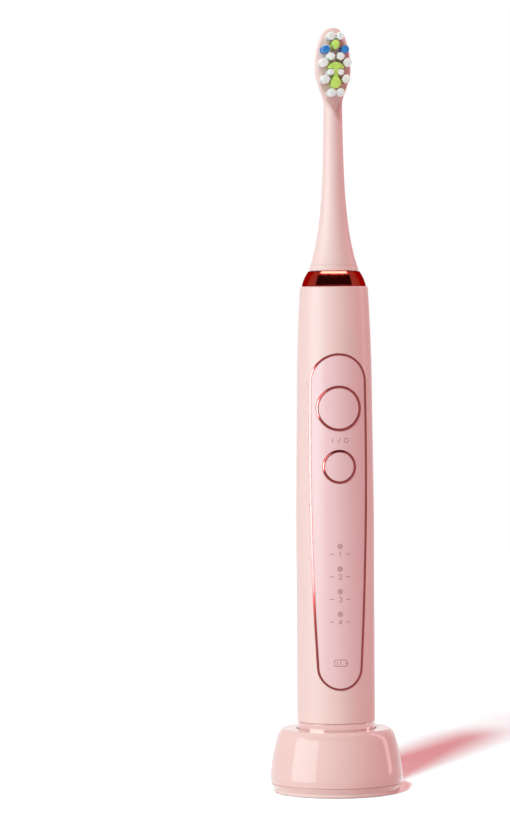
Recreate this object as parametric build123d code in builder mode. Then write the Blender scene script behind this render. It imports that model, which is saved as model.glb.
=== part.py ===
"""Electric toothbrush standing on its round charging base.

Millimetres. The origin is the centre of the base's underside, +Z is up, and the control panel and
the bristles face -Y. The handle drops over a round post in a shallow seat on top of the base. It
holds a drive motor whose shaft swings a few degrees to and fro, and the brush head pulls off that
shaft. Two buttons press in through a glossy panel let into the barrel.
"""

import os
from math import cos, exp, radians, sin, sqrt

from build123d import *

# ---------------------------------------------------------------- charging base
base_radius = 23.45  # widest radius, a little above the seam
base_height = 22.6  # to the flat crown round the seat
base_lean = 2.5  # how far the side leans in from its widest place to the shoulder
base_bulge = 0.4  # how far the side bows out of a straight line
base_wall = 2.0
belly_height = 5.7  # height of the widest place
shoulder_drop = 3.0  # from the crown down to where the shoulder's round starts
shoulder_run = 2.0  # how far the shoulder's round reaches in
roof_bevel = 0.6  # corner between the roof and the side, inside
seam_inset = 0.25  # the housing's lower edge, inside the widest radius
seam_groove = 0.35  # height and depth of the groove along the seam
plate_thickness = 2.0
plate_rim_height = 3.3  # base plate's underside to the seam
plate_round = 2.8  # reach of the rounded edge under the base plate
plate_lip_height = 1.5  # lip that rises inside the housing, above the seam
lip_thickness = 1.0
lip_clearance = 0.1
foot_height = 0.4  # how far the foot ring stands out of the base plate
foot_depth = 0.8  # groove in the base plate that the foot ring sits in
foot_outer_radius = 20.1
foot_inner_radius = 18.0
seat_depth = 1.4  # shallow seat for the handle
seat_margin = 0.4
post_radius = 4.6
post_height = 11.0
post_wall = 1.4
post_bevel = 1.0
base_screw_circle = 14.8
base_screw_radius = 1.1
base_screw_head_radius = 2.3
base_screw_head_height = 0.9
base_screw_clearance = 0.2  # round the screw and its head, in the base plate
base_screw_sink = 0.1  # screw heads below the base plate's underside
base_screw_reach = 8.0  # length of screw inside its boss
base_boss_radius = 2.6
base_screw_turn = 30.0  # degrees from +X to the first screw
base_screws = 3
gland_height = 8.6  # axis of the cord gland above the table
gland_radius = 3.1
gland_bore_radius = 1.8
gland_flange_radius = 3.9
gland_flange_thickness = 1.2
gland_length = 5.0
gland_setback = 0.5  # outer face of the gland, inside the widest radius
charger_board_radius = 11.8
charger_board_thickness = 1.6
charger_board_gap = 2.2  # space under the board
board_post_radius = 1.5
board_post_inset = 0.8  # board's edge to its posts
board_posts = 3
primary_height = 10.8
primary_flange_radius = 9.0
primary_flange_thickness = 1.0
primary_hub_wall = 1.1
primary_coil_radius = 8.5
core_radius = 2.9
core_gap = 0.3  # between the core and the post's roof
charger_part_size = (1.8, 3.6, 1.4)  # radial, tangential and upright size of each component
charger_part_circle = 10.4
charger_part_count = 3

# ---------------------------------------------------------------- handle
barrel_radius = 13.7
barrel_knee_radius = 13.2  # where the slight taper runs into the rounded shoulder
barrel_top_radius = 11.93
barrel_length = 153.0
barrel_straight = 74.7  # lower stretch of the barrel that has one radius
barrel_knee_drop = 34.6  # from the upper edge down to the knee
barrel_top_round = 0.55
barrel_wall = 1.7
nose_bore_depth = 6.8
nose_wall = 2.5
nose_sleeve = 1.5  # thickness of the sleeve inside the barrel, round the nose plug
end_ring_height = 3.55
end_ring_stand = 0.05  # how far the end ring stands out of the barrel
end_ring_bevel = 0.5
end_ring_groove = 0.35
end_ring_gap = 0.15  # between the end ring and the barrel
end_flange_height = 0.4
end_flange_inset = 0.8
end_floor = 2.0
end_plug_height = 5.7  # end cap's plug inside the barrel
end_plug_wall = 1.9
recess_clearance = 0.3  # round the charging post
recess_end_gap = 1.0
recess_wall = 1.2
receiver_gap = 0.1  # receiver bobbin inside the end cap's plug
receiver_drop = 0.4  # bobbin's upper edge below the recess's closed end
receiver_coil_inset = 0.4  # winding inside the bobbin's flanges
receiver_flange_thickness = 0.8
receiver_hub_wall = 0.8
seal_height = 1.2
seal_depth = 0.9

# Control panel, seen from the front
panel_top_drop = 23.4  # from the barrel's upper edge
panel_bottom_rise = 11.7  # from the barrel's lower edge
panel_margin = 2.1  # panel's upper end outside the power button's ring
panel_bottom_end_radius = 8.0
panel_side_radius = 1300.0  # long side arcs, tangent to both ends
pocket_depth = 1.0
trim_width = 0.65
trim_stand = 0.15
button_travel = 0.4
button_stand = 0.25
button_skin = 0.45  # underside of a button cap below the barrel's surface
button_clearance = 0.08
ring_stand = 0.3
ring_width = 0.8
power_button_drop = 42.6
power_ring_radius = 7.9
mode_button_drop = 63.0
mode_ring_radius = 5.9
stem_radius = 1.5
stem_clearance = 0.15
button_seal_thickness = 0.6
button_seal_margin = 1.5
light_count = 4
light_pitch = 7.93
light_drop = 90.8
light_radius = 0.9
guide_width = 3.0
guide_thickness = 1.2
guide_gap = 0.3  # guide's rail inside the barrel's wall
guide_overhang = 2.0  # rail beyond the first and last light

# Control board and its switches
board_gap = 3.3  # barrel's front wall to the board's face
board_end_gap = 0.3  # board's upper edge below the frame's
board_hole_clearance = 0.15
board_width = 12.0
board_thickness = 1.2
board_bottom_rise = 18.7
switch_size = 4.6
switch_thickness = 1.6
plunger_radius = 1.0
plunger_stand = 0.65
plunger_floor = 0.1  # under the plunger when its button is pressed home
led_width = 1.6
led_height = 0.8
led_thickness = 0.7

# Battery and frame
battery_radius = 7.0
battery_length = 50.0
battery_bottom_rise = 40.7
tab_thickness = 0.3
tab_width = 5.0
tab_reach = 2.0  # beyond the cell's axis
battery_bevel = 0.5
battery_gap = 0.1  # between the cell and the frame
frame_gap = 0.3
frame_wall = 1.1
bulkhead_thickness = 1.6
bulkhead_gap = 0.5  # lowest bulkhead above the end cap
frame_windows = 3
window_share = 0.8  # window's length as a share of its pitch
frame_screw_radius = 0.9
frame_screw_head_radius = 1.6
frame_screw_head_height = 0.8
frame_screw_reach = 4.0
frame_screw_end = 0.5  # hole beyond the screw's tip
frame_screw_spread = 4.0

# Drive motor
motor_radius = 9.0
motor_length = 24.2
motor_wall = 0.8
motor_front_wall = 1.2
motor_gap = 0.3
end_cap_thickness = 1.2
end_cap_spigot = 1.0
bush_radius = 3.0
bush_length = 3.6
bush_stand = 1.2  # front bush below the can's front wall
bush_end_gap = 0.3
journal_radius = 1.5
journal_end = 0.6  # shaft's lower end above the rear bush's
yoke_radius = 2.6
magnet_radius = 4.2
magnet_length = 10.0
magnet_count = 4
magnet_gap = 0.5
pole_radius = 4.5
pole_width = 2.4
pole_root = 0.4  # pole's run into the stator's ring
stator_inner_radius = 7.0
stator_length = 12.0
coil_inner_radius = 4.9
coil_width = 5.0
coil_gap = 0.1  # coil's corners inside the stator's ring
damper_height = 3.0
damper_inset = 2.0  # from the ends of the can
nose_flange_height = 2.0
nose_boss_radius = 6.2
nose_boss_height = 8.2  # above the barrel's upper edge
nose_boss_bevel = 0.4
collar_height = 5.3
collar_foot_radius = 11.35
collar_top_radius = 9.0
collar_bulge = 0.35  # how far the collar's side bows out
shaft_radius = 1.9
shaft_stand = 30.7  # shaft's tip above the barrel's upper edge
shaft_flat = 1.2  # axis to the flat on the shaft
shaft_flat_length = 16.0
shaft_bevel = 0.5
shaft_seal_radius = 4.5
shaft_seal_height = 1.5
shaft_seal_lip = 0.8  # thickness of the seal's upper edge
shaft_room = 0.4  # round the shaft inside the nose

# ---------------------------------------------------------------- brush head
head_gap = 0.3  # between collar and brush head
head_length = 85.0
skirt_radius = 8.8
neck_radius = 3.1
flare_length = 16.0  # distance over which the skirt's flare falls to a third
flare_steps = 8  # points along the flare's curve
flare_crowding = 1.4  # above 1, the points lie closer together near its foot
paddle_length = 27.5  # from the tip down to the round neck
paddle_foot = 1.0  # round stretch where the paddle's loft starts
cavity_mouth_radius = 7.5
cavity_top_radius = 5.5
cavity_depth = 5.6
socket_radius = 3.0
socket_length = 22.0
socket_flange_radius = 4.0
socket_flange_height = 1.0
socket_end_wall = 1.0
clip_rise = 16.0
clip_height = 1.3
clip_thickness = 0.6
head_ring_height = 2.0
head_ring_thickness = 0.55
paddle_face = 1.2  # axis to the flat face that the tufts stand on
paddle_half_width = 6.3
paddle_half_depth = 2.9
paddle_face_length = 24.6  # from the head's tip down the flat face
hollow_length = 12.0  # below the flat face, over which it curves out to the neck
hollow_rise = 4.0
tuft_depth = 2.0
strand_side = 0.3
strand_pitch = 0.5
strand_length = 9.5
plug_margin = 0.24  # plug outside the outer ring of strands

# ---------------------------------------------------------------- fits
slip = 0.05  # radial clearance of a seated round piece
overrun = 1.0  # how far a cut runs past the surface that it opens

STAND = (Align.CENTER, Align.CENTER, Align.MIN)  # an object that stands on its location
TALL = 1000.0  # longer than anything here, for cuts

# Heights and radii that follow from the sizes above
plate_bottom = foot_height
plate_top = plate_bottom + plate_thickness
seam_height = plate_bottom + plate_rim_height
handle_floor = base_height - seat_depth
post_top = handle_floor + post_height
roof_height = handle_floor - base_wall
charger_board_bottom = plate_top + charger_board_gap
primary_bottom = charger_board_bottom + charger_board_thickness
barrel_bottom = handle_floor + end_flange_height + end_ring_height + end_ring_gap
barrel_top = barrel_bottom + barrel_length
straight_top = barrel_bottom + barrel_straight
knee_height = barrel_top - barrel_knee_drop
taper = (barrel_radius - barrel_knee_radius) / (knee_height - straight_top)

# The barrel's rounded shoulder is an arc, tangent to the taper at the knee
shoulder_fall = barrel_knee_radius - barrel_top_radius
taper_stretch = sqrt(1 + taper**2)
arc_radius = (shoulder_fall**2 + barrel_knee_drop**2) * taper_stretch
arc_radius /= 2 * (shoulder_fall - taper * barrel_knee_drop)
arc_middle = knee_height - arc_radius * taper / taper_stretch


def barrel_radius_at(height):
    """Outer radius of the barrel at a height."""
    if height <= straight_top:
        return barrel_radius
    if height <= knee_height:
        return barrel_radius - taper * (height - straight_top)
    reach = sqrt(arc_radius**2 - (height - arc_middle) ** 2)
    return barrel_knee_radius - arc_radius / taper_stretch + reach


bore_radius = barrel_radius - barrel_wall
nose_bore_radius = barrel_top_radius - nose_wall
nose_ledge = barrel_top - nose_bore_depth
plug_radius = bore_radius - slip
plug_top = barrel_bottom + end_plug_height
recess_radius = post_radius + recess_clearance
recess_top = post_top + recess_end_gap
end_cap_top = recess_top + recess_wall
panel_top_end_radius = power_ring_radius + panel_margin
power_button_height = barrel_top - power_button_drop
mode_button_height = barrel_top - mode_button_drop
board_face = -(bore_radius - board_gap)
board_back = board_face + board_thickness
board_bottom = barrel_bottom + board_bottom_rise
motor_top = nose_ledge - nose_flange_height - motor_gap
motor_bottom = motor_top - motor_length
frame_top = motor_bottom - end_cap_thickness - motor_gap
board_top = frame_top - board_end_gap
battery_bottom = barrel_bottom + battery_bottom_rise
battery_top = battery_bottom + battery_length
frame_radius = barrel_radius_at(frame_top) - barrel_wall - frame_gap
battery_offset = frame_radius - frame_wall - battery_radius - battery_gap
boss_top = barrel_top + nose_boss_height
shaft_top = barrel_top + shaft_stand
head_bottom = barrel_top + collar_height + head_gap
head_top = head_bottom + head_length
cavity_top = head_bottom + cavity_depth
front_bush_floor = motor_top - motor_front_wall - bush_stand
rear_bush_floor = motor_bottom - end_cap_thickness
bush_room_top = front_bush_floor + bush_length + bush_end_gap
stator_middle = (motor_bottom + end_cap_spigot + motor_top - motor_front_wall) / 2
coil_depth = sqrt(stator_inner_radius**2 - (coil_width / 2) ** 2) - coil_inner_radius - coil_gap
seal_middle = barrel_top - nose_bore_depth / 2
paddle_start = head_top - paddle_length
face_bottom = head_top - paddle_face_length
flat_bottom = shaft_top - shaft_flat_length
clip_bottom = cavity_top + clip_rise
light_heights = [barrel_top - light_drop - i * light_pitch for i in range(light_count)]

# Tufts on the brush head: sideways place, distance below the tip, rings of strands round the centre
white_tufts = [
    (side * x, drop, 2)
    for x, drop in ((1.6, 3.2), (1.7, 10.3), (4.15, 12.5), (1.6, 15.8), (3.65, 18.3), (1.5, 23.0))
    for side in (-1, 1)
]
green_tufts = [(0, 5.9, 2), (-1.4, 13.1, 2), (1.4, 13.1, 2), (0, 19.3, 2)]
blue_tufts = [(-3.4, 7.8, 2), (3.4, 7.8, 2)]

os.makedirs("parts", exist_ok=True)


# ---------------------------------------------------------------- shared shapes
def barrel_layer(outer_depth, inner_depth):
    """Half section of a layer of the barrel, between two depths below its surface."""
    with BuildSketch(Plane.XZ) as layer:
        with BuildLine():
            for depth in (outer_depth, inner_depth):
                foot = (barrel_radius - depth, barrel_bottom)
                straight_end = (barrel_radius - depth, straight_top)
                knee = (barrel_knee_radius - depth, knee_height)
                Polyline(foot, straight_end, knee)
                TangentArc(knee, (barrel_top_radius - depth, barrel_top), tangent=(-taper, 1))
            for radius, height in ((barrel_radius, barrel_bottom), (barrel_top_radius, barrel_top)):
                Line((radius - outer_depth, height), (radius - inner_depth, height))
        make_face()
    return layer.sketch


def panel_outline(grow):
    """The panel's front outline: two round ends joined by long arcs that are tangent to both."""
    top_radius = panel_top_end_radius + grow
    bottom_radius = panel_bottom_end_radius + grow
    side_radius = panel_side_radius + grow
    top_centre = barrel_top - panel_top_drop - panel_top_end_radius
    bottom_centre = barrel_bottom + panel_bottom_rise + panel_bottom_end_radius
    span = top_centre - bottom_centre
    lean = (top_radius - bottom_radius) * (2 * side_radius - top_radius - bottom_radius)
    side_height = (top_centre + bottom_centre) / 2 + lean / (2 * span)
    side_offset = sqrt((side_radius - top_radius) ** 2 - (top_centre - side_height) ** 2)

    def touch(centre, radius):
        stretch = side_radius / (side_radius - radius)
        return side_offset * (stretch - 1), side_height + (centre - side_height) * stretch

    top_x, top_z = touch(top_centre, top_radius)
    bottom_x, bottom_z = touch(bottom_centre, bottom_radius)
    widest = side_radius - side_offset
    with BuildSketch() as outline:
        with BuildLine():
            ThreePointArc((top_x, top_z), (0, top_centre + top_radius), (-top_x, top_z))
            ThreePointArc((-top_x, top_z), (-widest, side_height), (-bottom_x, bottom_z))
            ThreePointArc(
                (-bottom_x, bottom_z), (0, bottom_centre - bottom_radius), (bottom_x, bottom_z)
            )
            ThreePointArc((bottom_x, bottom_z), (widest, side_height), (top_x, top_z))
        make_face()
    return outline.sketch


def skirt_radius_at(rise):
    """Outer radius of the brush head's skirt and neck, at a rise above its lower edge."""
    return neck_radius + (skirt_radius - neck_radius) * exp(-rise / flare_length)


def tuft_radius(rings):
    """Radius of the plug that holds a tuft with this many rings of strands."""
    return rings * strand_pitch + plug_margin


neck_height = paddle_start - head_bottom
neck_top_radius = skirt_radius_at(neck_height)


# ---------------------------------------------------------------- charging base
with BuildPart() as charger_housing:
    with BuildSketch(Plane.XZ):
        with BuildLine():
            foot = (base_radius - seam_inset, seam_height)
            belly = (base_radius, belly_height)
            shoulder = (base_radius - base_lean, base_height - shoulder_drop)
            seat_radius = barrel_radius + seat_margin
            crown = (shoulder[0] - shoulder_run, base_height)
            Line(foot, belly)
            bow = ((belly[0] + shoulder[0]) / 2 + base_bulge, (belly[1] + shoulder[1]) / 2)
            side = ThreePointArc(belly, bow, shoulder)
            TangentArc(shoulder, crown, tangent=side % 1)
            Polyline(
                crown,
                (seat_radius, base_height),
                (seat_radius, handle_floor),
                (post_radius, handle_floor),
                (post_radius, post_top),
                (0, post_top),
                (0, post_top - post_wall),
                (post_radius - post_wall, post_top - post_wall),
                (post_radius - post_wall, roof_height),
                (shoulder[0] - base_wall - roof_bevel, roof_height),
                (shoulder[0] - base_wall, roof_height - roof_bevel),
                (belly[0] - base_wall, belly[1]),
                (foot[0] - base_wall, foot[1]),
                foot,
            )
        make_face()
    revolve(axis=Axis.Z)
    chamfer(charger_housing.edges().filter_by_position(Axis.Z, post_top, post_top), post_bevel)
    with BuildSketch(Plane.XY.offset(plate_top)):
        with PolarLocations(base_screw_circle, base_screws, start_angle=base_screw_turn):
            Circle(base_boss_radius)
    extrude(until=Until.NEXT)
    with BuildSketch(Plane.XY.offset(plate_top)):
        with PolarLocations(base_screw_circle, base_screws, start_angle=base_screw_turn):
            Circle(base_screw_radius + slip)
    extrude(amount=base_screw_reach + overrun, mode=Mode.SUBTRACT)
    with BuildSketch(Plane.XZ.offset(-base_radius - overrun)):
        with Locations((0, gland_height)):
            Circle(gland_radius + slip)
    extrude(amount=gland_length + overrun, mode=Mode.SUBTRACT)

with BuildPart() as charger_base_plate:
    with BuildSketch(Plane.XZ):
        with BuildLine():
            plate_radius = base_radius - seam_inset
            lip_radius = plate_radius - base_wall - lip_clearance
            Polyline(
                (0, plate_bottom),
                (plate_radius - plate_round, plate_bottom),
                (plate_radius - plate_round / 3, plate_bottom + plate_round / 3),
                (plate_radius, plate_bottom + plate_round),
                (plate_radius, seam_height - seam_groove),
                (plate_radius - seam_groove, seam_height - seam_groove),
                (plate_radius - seam_groove, seam_height),
                (lip_radius, seam_height),
                (lip_radius, seam_height + plate_lip_height),
                (lip_radius - lip_thickness, seam_height + plate_lip_height),
                (lip_radius - lip_thickness, plate_top),
                (0, plate_top),
                (0, plate_bottom),
            )
        make_face()
    revolve(axis=Axis.Z)
    with Locations((0, 0, plate_top)):
        post_circle = charger_board_radius - board_post_radius - board_post_inset
        with PolarLocations(post_circle, board_posts, start_angle=90):
            Cylinder(board_post_radius, charger_board_gap, align=STAND)
    with BuildSketch(Plane.XY.offset(plate_bottom)):
        Circle(foot_outer_radius + slip)
        Circle(foot_inner_radius - slip, mode=Mode.SUBTRACT)
    extrude(amount=foot_depth, mode=Mode.SUBTRACT)
    for radius, depth in (
        (base_screw_head_radius, base_screw_head_height + base_screw_sink),
        (base_screw_radius, plate_thickness),
    ):
        with BuildSketch(Plane.XY.offset(plate_bottom)):
            with PolarLocations(base_screw_circle, base_screws, start_angle=base_screw_turn):
                Circle(radius + base_screw_clearance)
        extrude(amount=depth, mode=Mode.SUBTRACT)

with BuildPart() as charger_screws:
    with Locations((0, 0, plate_bottom + base_screw_sink)):
        with PolarLocations(base_screw_circle, base_screws, start_angle=base_screw_turn):
            Cylinder(base_screw_head_radius, base_screw_head_height, align=STAND)
            Cylinder(base_screw_radius, plate_thickness + base_screw_reach, align=STAND)

with BuildPart() as foot_ring:
    with BuildSketch():
        Circle(foot_outer_radius)
        Circle(foot_inner_radius, mode=Mode.SUBTRACT)
    extrude(amount=foot_height + foot_depth)

with BuildPart() as cord_gland:
    gland_mouth = base_radius - gland_setback
    with BuildSketch(Plane.XZ.offset(-gland_mouth)):
        with Locations((0, gland_height)):
            Circle(gland_radius)
    extrude(amount=gland_length)
    with BuildSketch(Plane.XZ.offset(-gland_mouth + gland_length)):
        with Locations((0, gland_height)):
            Circle(gland_flange_radius)
    extrude(amount=-gland_flange_thickness)
    with BuildSketch(Plane.XZ.offset(-gland_mouth)):
        with Locations((0, gland_height)):
            Circle(gland_bore_radius)
    extrude(amount=gland_length, mode=Mode.SUBTRACT)

with BuildPart() as charger_board:
    with Locations((0, 0, charger_board_bottom)):
        Cylinder(charger_board_radius, charger_board_thickness, align=STAND)

with BuildPart() as charger_board_parts:
    with Locations((0, 0, primary_bottom)):
        with PolarLocations(charger_part_circle, charger_part_count, start_angle=60):
            Box(*charger_part_size, align=STAND)

hub_radius = core_radius + slip + primary_hub_wall
with BuildPart() as primary_bobbin:
    with Locations((0, 0, primary_bottom)):
        Cylinder(hub_radius, primary_height, align=STAND)
        Cylinder(primary_flange_radius, primary_flange_thickness, align=STAND)
    with Locations((0, 0, primary_bottom + primary_height - primary_flange_thickness)):
        Cylinder(primary_flange_radius, primary_flange_thickness, align=STAND)
    Cylinder(core_radius + slip, TALL, mode=Mode.SUBTRACT)

with BuildPart() as primary_coil:
    with Locations((0, 0, primary_bottom + primary_flange_thickness + slip)):
        winding_height = primary_height - 2 * (primary_flange_thickness + slip)
        Cylinder(primary_coil_radius, winding_height, align=STAND)
        Cylinder(hub_radius + slip, winding_height, align=STAND, mode=Mode.SUBTRACT)

with BuildPart() as primary_core:
    with Locations((0, 0, primary_bottom)):
        Cylinder(core_radius, post_top - post_wall - core_gap - primary_bottom, align=STAND)

# ---------------------------------------------------------------- handle: barrel and lower end
with BuildPart() as panel_pocket:
    revolve(barrel_layer(-overrun, pocket_depth), axis=Axis.Z)
    with BuildSketch(Plane.XZ):
        add(panel_outline(slip))
    extrude(amount=TALL, mode=Mode.INTERSECT)

with BuildPart() as handle_shell:
    revolve(barrel_layer(0, barrel_wall), axis=Axis.Z)
    with Locations((0, 0, nose_ledge)):
        Cylinder(nose_bore_radius + nose_sleeve, nose_bore_depth, align=STAND)
        Cylinder(nose_bore_radius, nose_bore_depth, align=STAND, mode=Mode.SUBTRACT)
    top_edges = handle_shell.edges().filter_by_position(Axis.Z, barrel_top, barrel_top)
    fillet(top_edges.sort_by(SortBy.RADIUS)[-1], barrel_top_round)
    add(panel_pocket.part, mode=Mode.SUBTRACT)
    with BuildSketch(Plane.XZ):
        with Locations((0, power_button_height), (0, mode_button_height)):
            Circle(stem_radius + stem_clearance)
        with Locations(*[(0, height) for height in light_heights]):
            Circle(light_radius + slip)
    extrude(amount=TALL, mode=Mode.SUBTRACT)

with BuildPart() as front_panel:
    revolve(barrel_layer(0, pocket_depth - slip), axis=Axis.Z)
    with BuildSketch(Plane.XZ):
        add(panel_outline(-trim_width - slip))
        with Locations((0, power_button_height)):
            Circle(power_ring_radius + slip, mode=Mode.SUBTRACT)
        with Locations((0, mode_button_height)):
            Circle(mode_ring_radius + slip, mode=Mode.SUBTRACT)
        with Locations(*[(0, height) for height in light_heights]):
            Circle(light_radius + slip, mode=Mode.SUBTRACT)
    extrude(amount=TALL, mode=Mode.INTERSECT)

with BuildPart() as panel_trim:
    revolve(barrel_layer(-trim_stand, pocket_depth - slip), axis=Axis.Z)
    with BuildSketch(Plane.XZ):
        add(panel_outline(0))
        add(panel_outline(-trim_width), mode=Mode.SUBTRACT)
    extrude(amount=TALL, mode=Mode.INTERSECT)


def button_ring(height, radius):
    """Bevelled ring round a button, seated in the panel's pocket and following the barrel."""
    with BuildPart() as ring:
        revolve(barrel_layer(-ring_stand, pocket_depth - slip), axis=Axis.Z)
        with BuildSketch(Plane.XZ):
            with Locations((0, height)):
                Circle(radius)
                Circle(radius - ring_width, mode=Mode.SUBTRACT)
        extrude(amount=TALL, mode=Mode.INTERSECT)
    return ring


def button_cap(height, radius):
    """Button cap that follows the barrel, with the stem that presses its switch."""
    stem_end = board_face - switch_thickness - plunger_stand
    with BuildPart() as cap:
        revolve(barrel_layer(-button_stand, button_skin), axis=Axis.Z)
        with BuildSketch(Plane.XZ):
            with Locations((0, height)):
                Circle(radius - ring_width - button_clearance)
        extrude(amount=TALL, mode=Mode.INTERSECT)
        with BuildSketch(Plane.XZ.offset(-stem_end)):
            with Locations((0, height)):
                Circle(stem_radius)
        extrude(amount=barrel_radius_at(height) + stem_end)
    return cap


def button_seal(height):
    """Rubber washer inside the barrel, its rim against the wall, that the stem slides through."""
    radius = stem_radius + button_seal_margin
    rim = sqrt((barrel_radius_at(height) - barrel_wall) ** 2 - radius**2) - 2 * slip
    with BuildPart() as seal:
        with BuildSketch(Plane.XZ.offset(rim)):
            with Locations((0, height)):
                Circle(radius)
                Circle(stem_radius + slip, mode=Mode.SUBTRACT)
        extrude(amount=-button_seal_thickness)
    return seal


def switch_plunger(height):
    """Moving plunger of a tact switch, touching the button's stem."""
    with BuildPart() as plunger:
        with BuildSketch(Plane.XZ.offset(-board_face + button_travel + plunger_floor)):
            with Locations((0, height)):
                Circle(plunger_radius)
        extrude(amount=switch_thickness + plunger_stand - button_travel - plunger_floor)
    return plunger


power_button_ring = button_ring(power_button_height, power_ring_radius)
mode_button_ring = button_ring(mode_button_height, mode_ring_radius)
power_button_cap = button_cap(power_button_height, power_ring_radius)
mode_button_cap = button_cap(mode_button_height, mode_ring_radius)
power_button_seal = button_seal(power_button_height)
mode_button_seal = button_seal(mode_button_height)
power_switch_plunger = switch_plunger(power_button_height)
mode_switch_plunger = switch_plunger(mode_button_height)

with BuildPart() as light_guide:
    rail_face = sqrt(bore_radius**2 - (guide_width / 2) ** 2) - guide_gap
    rail_middle = (light_heights[0] + light_heights[-1]) / 2
    rail_length = light_heights[0] - light_heights[-1] + 2 * guide_overhang
    with Locations((0, -rail_face + guide_thickness / 2, rail_middle)):
        Box(guide_width, guide_thickness, rail_length)
    with BuildSketch(Plane.XZ.offset(rail_face)):
        with Locations(*[(0, height) for height in light_heights]):
            Circle(light_radius)
    extrude(amount=barrel_radius)
    Cylinder(barrel_radius, TALL, mode=Mode.INTERSECT)

with BuildPart() as end_cap:
    with BuildSketch(Plane.XZ):
        with BuildLine():
            Polyline(
                (recess_radius, handle_floor),
                (barrel_radius - end_flange_inset, handle_floor),
                (barrel_radius - end_flange_inset, handle_floor + end_flange_height),
                (plug_radius, handle_floor + end_flange_height),
                (plug_radius, plug_top),
                (plug_radius - end_plug_wall, plug_top),
                (plug_radius - end_plug_wall, handle_floor + end_floor),
                (recess_radius + recess_wall, handle_floor + end_floor),
                (recess_radius + recess_wall, end_cap_top),
                (0, end_cap_top),
                (0, recess_top),
                (recess_radius, recess_top),
                (recess_radius, handle_floor),
            )
        make_face()
    revolve(axis=Axis.Z)
    mouth_edges = end_cap.edges().filter_by_position(Axis.Z, handle_floor, handle_floor)
    chamfer(mouth_edges.sort_by(SortBy.RADIUS)[0], recess_wall / 2)
    with BuildSketch(Plane.XY.offset((barrel_bottom + plug_top - seal_height) / 2 - slip)):
        Circle(plug_radius + overrun)
        Circle(plug_radius - seal_depth, mode=Mode.SUBTRACT)
    extrude(amount=seal_height + 2 * slip, mode=Mode.SUBTRACT)

with BuildPart() as end_seal:
    with BuildSketch(Plane.XY.offset((barrel_bottom + plug_top - seal_height) / 2)):
        Circle(bore_radius - slip / 2)
        Circle(plug_radius - seal_depth + slip, mode=Mode.SUBTRACT)
    extrude(amount=seal_height)

with BuildPart() as end_ring:
    ring_bottom = handle_floor + end_flange_height
    ring_radius = barrel_radius + end_ring_stand
    with BuildSketch(Plane.XZ):
        with BuildLine():
            Polyline(
                (ring_radius - end_ring_bevel, ring_bottom),
                (ring_radius - end_ring_bevel / 3, ring_bottom + end_ring_bevel / 3),
                (ring_radius, ring_bottom + end_ring_bevel),
                (ring_radius, ring_bottom + end_ring_height - end_ring_groove),
                (ring_radius - end_ring_groove, ring_bottom + end_ring_height - end_ring_groove),
                (ring_radius - end_ring_groove, ring_bottom + end_ring_height),
                (bore_radius, ring_bottom + end_ring_height),
                (bore_radius, ring_bottom),
                close=True,
            )
        make_face()
    revolve(axis=Axis.Z)

# ---------------------------------------------------------------- handle: coil, frame, battery and board
receiver_bottom = handle_floor + end_floor
receiver_top = end_cap_top - receiver_drop
receiver_hub = recess_radius + recess_wall + slip + receiver_hub_wall
receiver_radius = plug_radius - end_plug_wall - receiver_gap
with BuildPart() as receiver_bobbin:
    with Locations((0, 0, receiver_bottom)):
        Cylinder(receiver_hub, receiver_top - receiver_bottom, align=STAND)
        Cylinder(receiver_radius, receiver_flange_thickness, align=STAND)
    with Locations((0, 0, receiver_top - receiver_flange_thickness)):
        Cylinder(receiver_radius, receiver_flange_thickness, align=STAND)
    Cylinder(recess_radius + recess_wall + slip, TALL, mode=Mode.SUBTRACT)

with BuildPart() as receiver_coil:
    with BuildSketch(Plane.XY.offset(receiver_bottom + receiver_flange_thickness + slip)):
        Circle(receiver_radius - receiver_coil_inset)
        Circle(receiver_hub + slip, mode=Mode.SUBTRACT)
    extrude(amount=receiver_top - receiver_bottom - 2 * (receiver_flange_thickness + slip))

bulkhead_floors = [
    end_cap_top + bulkhead_gap,
    battery_bottom - 2 * tab_thickness - bulkhead_thickness,
    battery_top + 2 * tab_thickness,
    frame_top - bulkhead_thickness,
]
screw_places = [
    (side * frame_screw_spread, floor + bulkhead_thickness / 2)
    for side, floor in zip((-1, 1), bulkhead_floors[1:3])
]

with BuildPart() as inner_frame:
    with BuildSketch(Plane.XY.offset(plug_top)):
        Circle(frame_radius)
        Circle(frame_radius - frame_wall, mode=Mode.SUBTRACT)
        with Locations((0, TALL / 2)):
            Rectangle(TALL, TALL, mode=Mode.INTERSECT)
    extrude(amount=frame_top - plug_top)
    for floor in bulkhead_floors:
        with BuildSketch(Plane.XY.offset(floor)):
            Circle(frame_radius)
            with Locations((0, board_back + TALL / 2)):
                Rectangle(TALL, TALL, mode=Mode.INTERSECT)
        extrude(amount=bulkhead_thickness)
    window_span = bulkhead_floors[2] - bulkhead_floors[1] - bulkhead_thickness
    window_pitch = window_span / frame_windows
    window_middle = (bulkhead_floors[2] + bulkhead_floors[1] + bulkhead_thickness) / 2
    with BuildSketch(Plane.XZ):
        with Locations((0, window_middle)):
            with GridLocations(1, window_pitch, 1, frame_windows):
                SlotOverall(window_pitch * window_share, frame_radius, rotation=90)
    extrude(amount=-TALL, mode=Mode.SUBTRACT)
    with BuildSketch(Plane.XZ.offset(-board_back)):
        with Locations(*screw_places):
            Circle(frame_screw_radius + slip)
    extrude(amount=-frame_screw_reach - frame_screw_end, mode=Mode.SUBTRACT)

with BuildPart() as frame_screws:
    with BuildSketch(Plane.XZ.offset(-board_face)):
        with Locations(*screw_places):
            Circle(frame_screw_head_radius)
    extrude(amount=frame_screw_head_height)
    with BuildSketch(Plane.XZ.offset(-board_face)):
        with Locations(*screw_places):
            Circle(frame_screw_radius)
    extrude(amount=-board_thickness - frame_screw_reach)

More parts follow.
